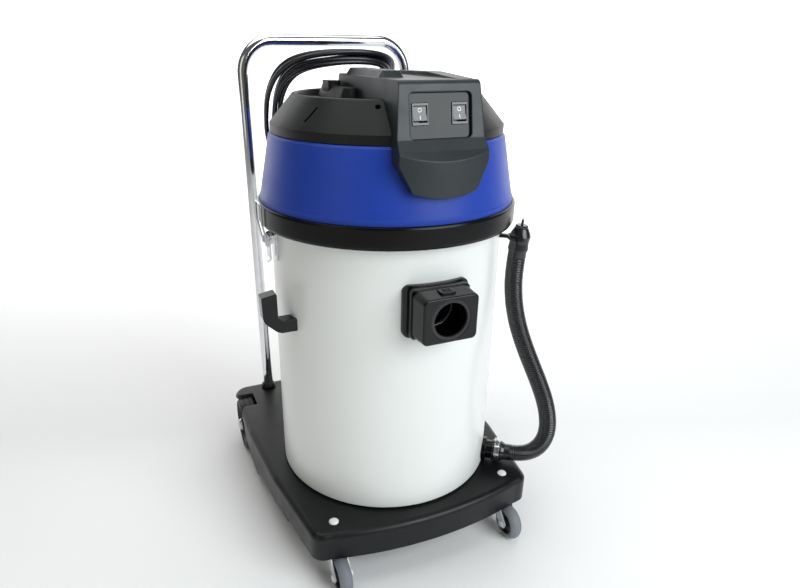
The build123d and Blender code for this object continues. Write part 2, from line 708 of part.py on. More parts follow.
with BuildPart() as top_cover:
    revolve_profile(
        (COVER_R_LOW, COVER_LOW),
        (COVER_R_LOW, COVER_EDGE),
        (COVER_R_RIM + 2, COVER_RIM - 2.5),
        (COVER_R_RIM, COVER_RIM - 0.5),
        (COVER_R_RIM - 2, COVER_RIM),
        (COVER_R_RIM - 5, COVER_RIM),
        (COVER_R_RIM - 7, COVER_RIM - 2),
        (COVER_R_RIM - 9, COVER_FLOOR),
        (0, COVER_FLOOR),
        (0, COVER_FLOOR - 3.5),
        (COVER_R_RIM - 5, COVER_FLOOR - 3.5),
        (COVER_R_RIM - 2, COVER_FLOOR - 1),
        (COVER_R_LOW - 4, COVER_EDGE - 2),
        (COVER_R_LOW - 4, COVER_LOW),
    )
    # raised motor dome in the middle of the recess, with sloped flanks
    with BuildSketch(Plane.XY.offset(COVER_FLOOR)):
        with Locations((0, 30)):
            RectangleRounded(196, 150, 20)
    extrude(amount=22, taper=22)
    with BuildSketch(Plane.XY.offset(COVER_FLOOR - 3.5)):
        with Locations((0, 30)):
            RectangleRounded(188, 142, 18)
    extrude(amount=21, taper=22, mode=Mode.SUBTRACT)
    # notch for the switch console
    box_between((-64, -230, 790), (64, -122, 870), mode=Mode.SUBTRACT)
    box_between((-70.5, -124, COVER_FLOOR), (70.5, CONSOLE_REAR_Y + 0.2, 880), mode=Mode.SUBTRACT)
    # two cord posts on the dome
    for side in (-1, 1):
        with BuildSketch(Plane.XY.offset(COVER_FLOOR)):
            with Locations((side * 82, 56)):
                RectangleRounded(22, 42, 5)
        extrude(amount=30)
    # a slot and a round drain hole in the sloped flank
    slot_reach = Vector(184, 0, 833).rotate(Axis.Z, 208)
    with Locations(Location(slot_reach, (0, 49, 208))):
        Box(16, 5, 30, mode=Mode.SUBTRACT)
    hole_reach = Vector(171.4, 0, 848.2).rotate(Axis.Z, 242.7)
    hole_out = Vector(44.5, 0, 39).rotate(Axis.Z, 242.7)
    with Locations(Plane(origin=hole_reach, z_dir=hole_out)):
        Cylinder(4, 16, mode=Mode.SUBTRACT)
save(top_cover, "top_cover")

# ---------------------------------------------------------------- head: switch console
LEAN = radians(PANEL_LEAN)
RECESS_Z = 838.8              # middle height of the panel's recess


def panel_point(x, height, depth=0.0):
    """A point on the leaning panel face at a height, then sunk below the face by a depth."""
    y = CONSOLE_FRONT_Y - (CONSOLE_TOP - height) * tan(LEAN)
    return Vector(x, y, height) - depth * Vector(0, -cos(LEAN), sin(LEAN))


def panel_plane(x, height, depth=0.0):
    """A sketch plane parallel to the panel, with local Y up its face."""
    return Plane(origin=panel_point(x, height, depth), x_dir=(1, 0, 0), z_dir=(0, -cos(LEAN), sin(LEAN)))


def clear_of_head(mode=Mode.SUBTRACT):
    """Take the shroud's and cover's outer surfaces away from the open part."""
    revolve_profile(
        (0, 700),
        (shroud_radius(700) + 0.2, 700),
        (SHROUD_R_HIGH + 0.2, SHROUD_HIGH - 4),
        (SHROUD_R_HIGH - 3, SHROUD_HIGH + 0.2),
        (COVER_R_LOW + 0.2, SHROUD_HIGH + 1),
        (COVER_R_LOW + 0.2, COVER_EDGE),
        (COVER_R_RIM + 2.2, COVER_RIM - 2.3),
        (COVER_R_RIM, COVER_RIM + 0.2),
        (COVER_R_RIM - 5, COVER_RIM + 0.2),
        (COVER_R_RIM - 7.2, COVER_RIM - 2),
        (COVER_R_RIM - 9.2, COVER_FLOOR + 0.1),
        (0, COVER_FLOOR + 0.1),
        mode=mode,
    )


with BuildPart() as switch_console:
    side_view = face_on(
        side_plane(0),
        (CONSOLE_REAR_Y, COVER_FLOOR),
        (CONSOLE_REAR_Y, CONSOLE_TOP - 4),
        (CONSOLE_REAR_Y - 4, CONSOLE_TOP),
        (CONSOLE_FRONT_Y, CONSOLE_TOP),
        (panel_point(0, 807).Y, 807),
        (-222, 790),
        (-240, 774),
        (-240, 712),
        (-120, 712),
        (-120, COVER_FLOOR),
    )
    extrude(side_view, amount=80, both=True)
    with BuildSketch(front_plane(-250)) as front_view:
        with BuildLine():
            ThreePointArc((-54, 732), (0, 723), (54, 732))
            Polyline(
                (54, 732),
                (75.5, 774),
                (CONSOLE_HALF, 900),
                (-CONSOLE_HALF, 900),
                (-75.5, 774),
                (-54, 732),
            )
        make_face()
        fillet(front_view.vertices().filter_by_position(Axis.Z, 731, 733), radius=16)
        fillet(front_view.vertices().filter_by_position(Axis.Z, 773, 775), radius=12)
    extrude(amount=-400, mode=Mode.INTERSECT)
    cylinder_z(TONGUE_R, 700, 900, mode=Mode.INTERSECT)
    fillet(edges().filter_by(Axis.X).filter_by_position(Axis.Z, 886, 888).sort_by(Axis.Y)[0], radius=9)
    brow = edges().filter_by_position(Axis.Z, 768, 776).sort_by(Axis.Y)[0]
    fillet(brow, radius=20)
    clear_of_head()
    # the console's body passes through the cover's notch
    core = [(-122.3, 800), (panel_point(0, 800).Y, 800), (panel_point(0, 870).Y, 870), (-122.3, 870)]
    extrude(face_on(side_plane(0), *core), amount=63.7, both=True)
    box_between((-63.7, -124, COVER_FLOOR), (63.7, CONSOLE_REAR_Y - 1, 870))
    inside = face_on(
        side_plane(0),
        (-186, 883),
        (57, 883),
        (57, COVER_FLOOR + 3),
        (-127, COVER_FLOOR + 3),
        (-127, 804),
        (panel_point(0, 804, 11).Y, 804),
    )
    extrude(inside, amount=59.5, both=True, mode=Mode.SUBTRACT)
    with BuildSketch(panel_plane(0, RECESS_Z)):
        RectangleRounded(102, 65.3, 7)
    extrude(amount=-SWITCH_RECESS, mode=Mode.SUBTRACT)
    for side in (-1, 1):
        with BuildSketch(panel_plane(side * SWITCH_X, SWITCH_Z)):
            Rectangle(24, 27.6)
        extrude(amount=-20, mode=Mode.SUBTRACT)
    # raised shoulders of the lid, with the carrying dip between them
    with BuildSketch(Plane.XY.offset(CONSOLE_TOP)):
        with Locations((-41, -40)):
            RectangleRounded(42, 160, 8)
    extrude(amount=10, taper=35)
    wedge = [(44, 886), (38, 892), (-80, 894), (-186, 887.2), (-186, 886)]
    extrude(face_on(side_plane(49), *wedge), amount=14, both=True)
save(switch_console, "switch_console")

ROCKER_TILT = radians(8)
PIVOT_DEPTH = 9.0
with BuildPart() as switch_frames:
    for side in SIDES.values():
        with BuildSketch(panel_plane(side * SWITCH_X, SWITCH_Z, SWITCH_RECESS)):
            Rectangle(26, 30.6)
        extrude(amount=2.6)
        with BuildSketch(panel_plane(side * SWITCH_X, SWITCH_Z, SWITCH_RECESS)):
            Rectangle(23.8, 27.4)
        extrude(amount=-20)
        with BuildSketch(panel_plane(side * SWITCH_X, SWITCH_Z)):
            Rectangle(22.6, 23.6)
        extrude(amount=-18, mode=Mode.SUBTRACT)
save(switch_frames, "switch_frames")

for name, side in SIDES.items():
    with BuildPart() as rocker:
        lean = LEAN + ROCKER_TILT
        pivot = panel_point(side * SWITCH_X, SWITCH_Z, PIVOT_DEPTH)
        plane = Plane(origin=pivot, x_dir=(0, sin(lean), cos(lean)), z_dir=(1, 0, 0))
        paddle = face_on(plane, (-10.5, 4.8), (0, 3.6), (10.5, 4.8), (9, -2), (3, -5), (-3, -5), (-9, -2))
        extrude(paddle, amount=11, both=True)
        fillet(edges().filter_by(Axis.X).group_by(Axis.Y)[0], radius=0.8)
        cylinder_x(2.0, pivot.X - 11.25, pivot.X + 11.25, pivot.Y, pivot.Z)
    save(rocker, f"rocker_{name}")

# ---------------------------------------------------------------- head: motors and filter
MOTOR_X = 78.0
for name, side in SIDES.items():
    x = side * MOTOR_X
    with BuildPart() as motor_can:
        turned_z(
            x, 0, (22, 672), (68, 672), (68, 718), (56, 724), (56, 792), (50, 800), (5.06, 800),
            (5.06, 797), (48, 797), (53, 791), (53, 722), (65, 715), (65, 675), (22, 675),
        )
    save(motor_can, f"motor_can_{name}")
    with BuildPart() as motor_rotor:
        turned_z(
            x, 0, (0, 682), (8, 682), (8, 690), (60, 690), (60, 702), (10, 704), (5, 708), (5, 728),
            (34, 728), (34, 776), (16, 778), (16, 790), (5, 790), (5, 806), (0, 806),
        )
    save(motor_rotor, f"motor_rotor_{name}")

with BuildPart() as float_cage:
    revolve_profile(
        (22, 656), (48, 656), (48, 552), (0, 552), (0, 548), (51, 548), (51, 659), (66, 659),
        (66, 664), (22, 664),
    )
    for slot in range(12):
        angle = 30 * slot
        place = (49 * cos(radians(angle)), 49 * sin(radians(angle)), 604)
        with Locations(Location(place, (0, 0, angle))):
            Box(12, 15, 78, mode=Mode.SUBTRACT)
save(float_cage, "float_cage")

with BuildPart() as float_ball:
    with Locations((0, 0, 578.5)):
        Sphere(26)
save(float_ball, "float_ball")

with BuildPart() as filter_sleeve:
    revolve_profile((68, 542), (88, 542), (88, 664), (68, 664))
save(filter_sleeve, "filter_sleeve")

with BuildPart() as filter_cap:
    revolve_profile((0, 538), (90, 538), (90, 546), (88.2, 546), (88.2, 542), (0, 542))
save(filter_cap, "filter_cap")

# ---------------------------------------------------------------- mains cord
COIL_ROUTE = [
    (-58, 90, 914), (0, 92, 913), (42, 108, 905), (61, 146, 887), (64, 188, 854),
    (64, 219, 812), (60, 232, 768), (38, 251, 726), (-8, 264, 700), (-58, 268, 692),
    (-108, 262, 700), (-146, 240, 728), (-164, 212, 770), (-168, 190, 812),
    (-166, 170, 850), (-154, 130, 888), (-122, 100, 908),
]


def middle(first, second):
    """The point half-way between two points."""
    return tuple((a + b) / 2 for a, b in zip(first, second))


# the coil's outer shape is swept as two halves that meet at the middle of a run
TOP_MIDDLE = middle(COIL_ROUTE[-1], COIL_ROUTE[0])
LOW_MIDDLE = middle(COIL_ROUTE[8], COIL_ROUTE[9])
COIL_HALVES = [
    [TOP_MIDDLE, *COIL_ROUTE[:9], LOW_MIDDLE],
    [LOW_MIDDLE, *COIL_ROUTE[9:], TOP_MIDDLE],
]
coil_length = 0
with BuildPart() as cord_coil:
    for half in COIL_HALVES:
        with BuildLine() as coil_path:
            FilletPolyline(*half, radius=bend_radii(half))
        coil_length += coil_path.wire().length
        with BuildSketch(start_plane(half)):
            Circle(COIL_R)
        sweep(path=coil_path.wire())
print(f"cord_coil: once round {coil_length:.0f} mm")
print(f"cord_coil: volume check {cord_coil.part.volume / (pi * COIL_R**2 * coil_length):.4f}")
save(cord_coil, "cord_coil")

GLAND_X, GLAND_Z = 30.0, 877.0
with BuildPart() as cord_gland:
    cylinder_y(8, CONSOLE_REAR_Y, CONSOLE_REAR_Y + 4, GLAND_X, GLAND_Z)
    cylinder_y(6.2, CONSOLE_REAR_Y + 4, CONSOLE_REAR_Y + 22, GLAND_X, GLAND_Z)
    for groove in (8, 13, 18):
        y = CONSOLE_REAR_Y + groove
        cylinder_y(7.4, y - 1.2, y + 1.2, GLAND_X, GLAND_Z)
save(cord_gland, "cord_gland")

CORDS = {
    "power_cord_lead": [(30, 84, 877), (30, 97, 877), (34, 110, 881), (43, 120, 888)],
    "power_cord_tail": [
        (-14, 267, 682), (-16, 269, 668), (-20, 271, 651), (-23, 270, 634), (-23, 270, 618),
    ],
}
for name, route in CORDS.items():
    radii = bend_radii(route)
    with BuildPart() as power_cord:
        with BuildLine() as cord_path:
            FilletPolyline(*route, radius=radii)
        with BuildSketch(start_plane(route)):
            Circle(CORD_R)
        sweep(path=cord_path.wire())
    report_tube(name, power_cord, cord_path.wire(), CORD_R, radii)
    save(power_cord, name)

PLUG_X, PLUG_Y, PLUG_TOP = CORDS["power_cord_tail"][-1]
with BuildPart() as mains_plug:
    turned_z(
        PLUG_X, PLUG_Y, (0, PLUG_TOP), (6.2, PLUG_TOP), (7.5, PLUG_TOP - 18), (13, PLUG_TOP - 22),
        (18.5, PLUG_TOP - 36), (18.5, PLUG_TOP - 52), (0, PLUG_TOP - 52),
    )
    for side in (-1, 1):
        box_between(
            (min(PLUG_X + side * 16, PLUG_X + side * 22), PLUG_Y - 4, PLUG_TOP - 54),
            (max(PLUG_X + side * 16, PLUG_X + side * 22), PLUG_Y + 4, PLUG_TOP - 20),
            mode=Mode.SUBTRACT,
        )
save(mains_plug, "mains_plug")

with BuildPart() as plug_pins:
    for side in (-1, 1):
        cylinder_z(2.4, PLUG_TOP - 71, PLUG_TOP - 52, PLUG_X + side * 9.5, PLUG_Y)
save(plug_pins, "plug_pins")
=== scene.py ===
import json
import math
import random

import bmesh
import bpy
from mathutils import Matrix, Vector


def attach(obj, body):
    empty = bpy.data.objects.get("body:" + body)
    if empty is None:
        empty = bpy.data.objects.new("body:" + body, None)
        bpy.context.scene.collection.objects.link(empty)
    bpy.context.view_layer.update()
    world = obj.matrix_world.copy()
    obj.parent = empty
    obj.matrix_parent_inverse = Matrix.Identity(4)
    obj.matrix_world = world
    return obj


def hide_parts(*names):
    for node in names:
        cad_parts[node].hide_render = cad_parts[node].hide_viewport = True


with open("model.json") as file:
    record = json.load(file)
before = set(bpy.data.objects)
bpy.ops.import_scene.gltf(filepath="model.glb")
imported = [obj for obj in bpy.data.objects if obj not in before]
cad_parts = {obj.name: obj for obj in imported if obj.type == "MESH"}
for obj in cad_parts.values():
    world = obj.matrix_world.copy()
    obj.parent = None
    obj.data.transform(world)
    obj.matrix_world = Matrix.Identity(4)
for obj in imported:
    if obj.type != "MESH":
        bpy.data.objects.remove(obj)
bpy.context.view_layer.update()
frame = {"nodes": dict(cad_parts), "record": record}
nodes = frame["nodes"]
SIDES = ("left", "right")
AXIS_Y = -0.041  # the drum's upright axis in the shared frame
MM = 0.001


# ---------------------------------------------------------------- node helpers
def new_material(name):
    material = bpy.data.materials.new(name)
    material.use_nodes = True
    tree = material.node_tree
    return material, tree, tree.nodes["Principled BSDF"]


def node(tree, kind, **values):
    made = tree.nodes.new(kind)
    for key, value in values.items():
        if key in made.inputs:
            made.inputs[key].default_value = value
        else:
            setattr(made, key, value)
    return made


def noise(tree, scale, detail=4.0, stretch=(1, 1, 1), distortion=0.0):
    """Noise in object space, in features per metre."""
    place = node(tree, "ShaderNodeTexCoord")
    mapping = node(tree, "ShaderNodeMapping")
    mapping.inputs["Scale"].default_value = stretch
    made = node(tree, "ShaderNodeTexNoise", Scale=scale, Detail=detail, Distortion=distortion)
    tree.links.new(place.outputs["Object"], mapping.inputs["Vector"])
    tree.links.new(mapping.outputs["Vector"], made.inputs["Vector"])
    return made.outputs["Fac"]


def mapped(tree, value, low, high, from_low=0.3, from_high=0.7):
    made = node(tree, "ShaderNodeMapRange")
    made.inputs["From Min"].default_value = from_low
    made.inputs["From Max"].default_value = from_high
    made.inputs["To Min"].default_value = low
    made.inputs["To Max"].default_value = high
    tree.links.new(value, made.inputs["Value"])
    return made.outputs["Result"]


def blended(tree, fac, first, second):
    """Mix of two colours by a value."""
    made = node(tree, "ShaderNodeMix", data_type="RGBA")
    for socket, colour in ((made.inputs[6], first), (made.inputs[7], second)):
        if isinstance(colour, tuple):
            socket.default_value = (*colour, 1)
        else:
            tree.links.new(colour, socket)
    tree.links.new(fac, made.inputs[0])
    return made.outputs[2]


def bumped(tree, shader, height, strength, distance, bevel=0.0):
    made = node(tree, "ShaderNodeBump", Strength=strength, Distance=distance)
    tree.links.new(height, made.inputs["Height"])
    if bevel:
        round_edge = node(tree, "ShaderNodeBevel", samples=6, Radius=bevel)
        tree.links.new(round_edge.outputs["Normal"], made.inputs["Normal"])
    tree.links.new(made.outputs["Normal"], shader.inputs["Normal"])
    return made


def moulded(name, base, worn, rough=(0.35, 0.5), grain=900, depth=0.00012, strength=0.25,
            bevel=0.0, specular=0.5, coat=0.0, patch=9):
    """Moulded plastic or rubber: soft mottling, uneven gloss and a fine moulded grain."""
    material, tree, shader = new_material(name)
    colour = blended(tree, mapped(tree, noise(tree, patch, 6), 0, 1), base, worn)
    tree.links.new(colour, shader.inputs["Base Color"])
    tree.links.new(mapped(tree, noise(tree, patch * 3, 5), *rough), shader.inputs["Roughness"])
    bumped(tree, shader, noise(tree, grain, 3), strength, depth, bevel)
    shader.inputs["Specular IOR Level"].default_value = specular
    shader.inputs["Coat Weight"].default_value = coat
    shader.inputs["Coat Roughness"].default_value = 0.12
    return material


def metal(name, base, dull, rough=(0.18, 0.3), stretch=(1, 1, 1), grain=700, strength=0.12, bevel=0.0):
    """Plated or polished metal with faint drawn lines and uneven polish."""
    material, tree, shader = new_material(name)
    colour = blended(tree, mapped(tree, noise(tree, 40, 5), 0, 1), base, dull)
    tree.links.new(colour, shader.inputs["Base Color"])
    tree.links.new(mapped(tree, noise(tree, 90, 4, stretch), *rough), shader.inputs["Roughness"])
    bumped(tree, shader, noise(tree, grain, 2, stretch), strength, 0.00005, bevel)
    shader.inputs["Metallic"].default_value = 1.0
    return material


# ---------------------------------------------------------------- materials
DECK = moulded("deck_black", (0.003, 0.0035, 0.004), (0.005, 0.0055, 0.006), (0.32, 0.42), 1400,
               0.0002, 0.35, bevel=0.002, specular=0.3)
TANK = moulded("tank_white", (0.80, 0.82, 0.80), (0.815, 0.835, 0.812), (0.28, 0.33), 420,
               0.0002, 0.05, bevel=0.002, coat=0.2, patch=3)
GLOSS = moulded("gloss_black", (0.002, 0.002, 0.0025), (0.0035, 0.0035, 0.0042), (0.16, 0.22), 1500,
                0.0001, 0.12, bevel=0.0016, specular=0.3)
RING = moulded("ring_black", (0.002, 0.002, 0.0022), (0.003, 0.003, 0.0035), (0.22, 0.28), 1200,
               0.0001, 0.2, bevel=0.0015, specular=0.2)
BLUE = moulded("shroud_blue", (0.012, 0.045, 0.33), (0.016, 0.054, 0.37), (0.36, 0.44), 1100,
               0.00012, 0.18, bevel=0.002, specular=0.25)
COVER = moulded("cover_grey", (0.005, 0.006, 0.0055), (0.007, 0.009, 0.008), (0.38, 0.46), 1500,
                0.00015, 0.3, bevel=0.0025, specular=0.25)
PANEL = moulded("console_grey", (0.009, 0.0145, 0.0175), (0.013, 0.0195, 0.023), (0.38, 0.46), 1700,
                0.00012, 0.35, bevel=0.003)
SOFT = moulded("soft_rubber", (0.010, 0.010, 0.010), (0.020, 0.020, 0.020), (0.5, 0.65), 1200,
               0.0001, 0.3, bevel=0.0008)
TYRE = moulded("tyre_black", (0.014, 0.014, 0.015), (0.03, 0.03, 0.031), (0.55, 0.75), 900,
               0.0002, 0.4, bevel=0.001)
TREAD = moulded("caster_grey", (0.16, 0.175, 0.20), (0.22, 0.235, 0.26), (0.45, 0.6), 800,
                0.0002, 0.3, bevel=0.001)
HUB = moulded("hub_dark", (0.018, 0.018, 0.02), (0.03, 0.03, 0.034), (0.4, 0.55), 1200,
              0.0001, 0.25, bevel=0.001)
HOSE = moulded("hose_black", (0.008, 0.008, 0.010), (0.014, 0.014, 0.017), (0.14, 0.26), 1400,
               0.0001, 0.15, coat=0.15)
CORD = moulded("cord_black", (0.009, 0.010, 0.014), (0.016, 0.017, 0.022), (0.24, 0.36), 1500,
               0.0001, 0.2)
SWITCH = moulded("rocker_black", (0.012, 0.013, 0.015), (0.02, 0.021, 0.024), (0.12, 0.2), 1800,
                 0.00006, 0.15, bevel=0.0008, coat=0.3)
FORK = moulded("fork_pale", (0.62, 0.64, 0.68), (0.74, 0.75, 0.78), (0.2, 0.34), 700,
               0.0001, 0.2, bevel=0.0008, coat=0.2)
BOLT = moulded("bolt_white", (0.72, 0.72, 0.72), (0.82, 0.82, 0.82), (0.2, 0.35), 700,
               0.0001, 0.2, bevel=0.0005)
NATURAL = moulded("natural_plastic", (0.62, 0.61, 0.56), (0.70, 0.69, 0.64), (0.4, 0.5), 700,
                  0.0001, 0.2, bevel=0.0008)
MARK = moulded("mark_white", (0.80, 0.80, 0.80), (0.86, 0.86, 0.86), (0.4, 0.5), 900, 0.00005, 0.1)
CHROME = metal("chrome", (0.80, 0.81, 0.83), (0.72, 0.73, 0.74), (0.05, 0.11), (1, 1, 0.02), 900, 0.05)
ZINC = metal("zinc", (0.62, 0.63, 0.66), (0.52, 0.53, 0.55), (0.2, 0.36), (1, 1, 0.1), bevel=0.0005)
STEEL = metal("motor_steel", (0.5, 0.5, 0.51), (0.4, 0.4, 0.41), (0.28, 0.42), (1, 1, 8), bevel=0.001)
BRASS = metal("brass", (0.72, 0.56, 0.28), (0.6, 0.46, 0.22), (0.15, 0.28))


def felt():
    material, tree, shader = new_material("filter_felt")
    fibres = noise(tree, 500, 8, (1, 1, 0.6), 1.5)
    tree.links.new(blended(tree, mapped(tree, fibres, 0, 1), (0.60, 0.60, 0.55), (0.78, 0.78, 0.73)),
                   shader.inputs["Base Color"])
    shader.inputs["Roughness"].default_value = 0.9
    shader.inputs["Sheen Weight"].default_value = 0.4
    bumped(tree, shader, fibres, 0.6, 0.0008)
    return material


LOOKS = {
    "deck_plastic": DECK, "chrome_tube": CHROME, "zinc_steel": ZINC, "bolt_paint": BOLT,
    "fork_paint": FORK, "caster_rubber": TREAD, "tyre_rubber": TYRE, "hub_plastic": HUB,
    "tank_plastic": TANK, "black_plastic": GLOSS, "button_plastic": GLOSS, "soft_rubber": SOFT,
    "hose_plastic": HOSE, "shroud_plastic": BLUE, "cover_plastic": COVER,
    "console_plastic": PANEL, "switch_plastic": SWITCH, "motor_steel": STEEL,
    "rotor_alloy": ZINC, "filter_cloth": felt(), "float_plastic": NATURAL,
    "cord_rubber": CORD, "pin_brass": BRASS,
}
OWN_LOOK = {"head_ring": RING}


def dress(piece, material):
    piece.data.materials.clear()
    piece.data.materials.append(material)


for part in frame["record"]["subparts"]:
    name = part["node"]
    dress(nodes[name], OWN_LOOK.get(name, LOOKS[part["material_slot"]]))


# ---------------------------------------------------------------- piece helpers
def piece_from(bm, name, body, material, smooth=40):
    mesh = bpy.data.meshes.new(name)
    bmesh.ops.recalc_face_normals(bm, faces=bm.faces)
    bm.to_mesh(mesh)
    bm.free()
    made = bpy.data.objects.new(name, mesh)
    bpy.context.scene.collection.objects.link(made)
    mesh.materials.append(material)
    mesh.shade_smooth()
    mesh.set_sharp_from_angle(angle=math.radians(smooth))
    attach(made, body)
    return made


def nurbs(name, points):
    """A smooth open curve on given control points, in metres."""
    data = bpy.data.curves.new(name, "CURVE")
    data.dimensions = "3D"
    data.resolution_u = 8
    spline = data.splines.new("NURBS")
    spline.points.add(len(points) - 1)
    for point, place in zip(spline.points, points):
        point.co = (*place, 1)
    spline.order_u = 3
    spline.use_endpoint_u = True
    made = bpy.data.objects.new(name, data)
    bpy.context.scene.collection.objects.link(made)
    return made


def line_of(curve):
    """The points along a curve that has no bevel."""
    mesh = bpy.data.meshes.new_from_object(curve)
    points = [v.co.copy() for v in mesh.vertices]
    bpy.data.meshes.remove(mesh)
    return points


def walked(points, step):
    """Points at an even spacing along a line, each with its direction."""
    lengths = [0.0]
    for a, b in zip(points, points[1:]):
        lengths.append(lengths[-1] + (b - a).length)
    count = max(2, round(lengths[-1] / step))
    out, i = [], 0
    for n in range(count + 1):
        along = lengths[-1] * n / count
        while i < len(points) - 2 and lengths[i + 1] < along:
            i += 1
        share = (along - lengths[i]) / (lengths[i + 1] - lengths[i])
        out.append((along, points[i].lerp(points[i + 1], share)))
    return out, lengths[-1]


def tube_along(bm, stations, radius_at, sides=32):
    """A closed tube through stations of (distance, point), its radius given along it."""
    rings = []
    across = None
    for n, (along, point) in enumerate(stations):
        before = stations[max(n - 1, 0)][1]
        after = stations[min(n + 1, len(stations) - 1)][1]
        direction = (after - before).normalized()
        if across is None:
            across = direction.orthogonal().normalized()
        across = (across - across.dot(direction) * direction).normalized()
        other = direction.cross(across)
        radius = radius_at(along)
        rings.append([
            bm.verts.new(point + radius * (math.cos(t) * across + math.sin(t) * other))
            for t in (2 * math.pi * k / sides for k in range(sides))
        ])
    for first, second in zip(rings, rings[1:]):
        for k in range(sides):
            bm.faces.new((first[k], first[(k + 1) % sides], second[(k + 1) % sides], second[k]))
    bm.faces.new(list(reversed(rings[0])))
    bm.faces.new(rings[-1])


# ---------------------------------------------------------------- drain hose
OUT = Vector((math.cos(math.radians(-38)), math.sin(math.radians(-38)), 0))
HOSE_ROUTE = [
    (262, 153), (284, 153), (305, 157.5), (324, 170), (337, 191), (343, 218),
    (341, 250), (331, 289), (314, 330), (294, 372), (274, 416), (258, 461),
    (248, 508), (245, 556), (248, 596),
]
hose_points = [OUT * reach * MM + Vector((0, AXIS_Y, height * MM)) for reach, height in HOSE_ROUTE]
guide = nurbs("hose_guide", hose_points)
hose_line = line_of(guide)
bpy.data.objects.remove(guide)
hose_stations, hose_length = walked(hose_line, 0.0007)
PITCH = 0.0049


def hose_radius(along):
    """Rounded corrugations, with a plain cuff at each end."""
    plain = min(along, hose_length - along)
    if plain < 0.012:
        return 0.0166
    wave = 0.5 + 0.5 * math.cos(2 * math.pi * along / PITCH)
    return 0.0151 + 0.0019 * wave ** 0.6


bm = bmesh.new()
tube_along(bm, hose_stations, hose_radius, 40)
hose = piece_from(bm, "corrugated_hose", "trolley", HOSE, 75)
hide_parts("drain_hose")


# ---------------------------------------------------------------- mains cord
COIL_ROUTE = [
    (-58, 90, 914), (0, 92, 913), (42, 108, 905), (61, 146, 887), (64, 188, 854),
    (64, 219, 812), (60, 232, 768), (38, 251, 726), (-8, 264, 700), (-58, 268, 692),
    (-108, 262, 700), (-146, 240, 728), (-164, 212, 770), (-168, 190, 812),
    (-166, 170, 850), (-154, 130, 888), (-122, 100, 908),
]
# how far the strands stand apart, and how far they settle inwards, at each point of the route
FAN = [1.2, 1.05, 1.0, 1.0, 1.0, 1.1, 1.2, 1.15, 1.0, 1.0, 1.05, 1.1, 1.15, 1.2, 1.2, 1.25, 1.25]
SETTLE = [1, 0, 0, 0, 0, 0, 0, 0, 0, 0, 1, 3, 5, 6, 6, 5, 3]
TURNS = 7
BLEND = 6  # points over which a turn moves to the next place in the bundle
STRAND_GAP = 9.6
FIRST_STEP = 4  # where on the route the lead from the gland joins the first turn
LAST_STEPS = 4  # points that the cord runs on past its last whole turn
LAST_PLACE = (1.75, 0.1)  # outside the bundle, so that the tail leaves it freely
OUTER = 0.6  # a strand further out than this settles once, the others twice
SLACK = 0.6


def cord_route():
    """The mains cord from its gland, round the coil's loose turns and down to the plug."""
    random.seed(4)
    route = [Vector(p) for p in COIL_ROUTE]
    count = len(route)
    centre = sum(route, Vector()) / count
    # each turn's place in the bundle, outwards and sideways of its middle, in strand gaps
    angles = [math.radians(60 * k + 20) for k in range(1, 7)]
    places = [(0, 0)] + [(math.cos(t), math.sin(t)) for t in angles] + [LAST_PLACE]
    points = [Vector(p) for p in ((30, 84, 877), (30, 102, 877), (36, 124, 880), (50, 152, 879))]
    for n in range(TURNS * count + LAST_STEPS):
        step = (n + FIRST_STEP) % count
        turn, on = divmod(n, count)
        share = max(0, on - (count - BLEND)) / BLEND
        first, second = places[turn], places[min(turn + 1, TURNS)]
        here = route[step]
        run = (route[(step + 1) % count] - route[step - 1]).normalized()
        outward = here - centre
        outward = (outward - outward.dot(run) * run).normalized()
        sideways = run.cross(outward)
        away, side = ((1 - share) * a + share * b for a, b in zip(first, second))
        loose = SETTLE[step] * (1 if away > OUTER else 2)
        away = away * STRAND_GAP * FAN[step] - loose
        wander = Vector((random.uniform(-1, 1), random.uniform(-1, 1), random.uniform(-1, 1)))
        side *= STRAND_GAP * FAN[step]
        points.append(here + away * outward + side * sideways + SLACK * wander)
    tail = ((10, 272, 697), (-9, 276, 680), (-18, 275, 662), (-22, 272, 643),
            (-23, 270, 630), (-23, 270, 618))
    points += [Vector(p) for p in tail]
    return [(p.x * MM, p.y * MM + AXIS_Y, p.z * MM) for p in points]


cord_points = cord_route()
cord = nurbs("mains_cord", cord_points)
cord.data.bevel_depth = 0.0045
cord.data.bevel_resolution = 4
cord.data.use_fill_caps = True
cord.data.resolution_u = 5
cord.data.materials.append(CORD)
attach(cord, "head")
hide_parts("cord_coil", "power_cord_lead", "power_cord_tail")
cord_guide = nurbs("cord_guide", cord_points)
cord_line = line_of(cord_guide)
bpy.data.objects.remove(cord_guide)


# ---------------------------------------------------------------- switch plate and marks
def rounded(width, height, radius, x=0.0, y=0.0):
    """A rounded rectangle's outline in millimetres."""
    outline = []
    for k, (sx, sy) in enumerate(((1, 1), (-1, 1), (-1, -1), (1, -1))):
        for n in range(9):
            t = math.pi / 2 * (k + n / 8)
            outline.append((x + sx * (width / 2 - radius) + radius * math.cos(t),
                            y + sy * (height / 2 - radius) + radius * math.sin(t)))
    return outline


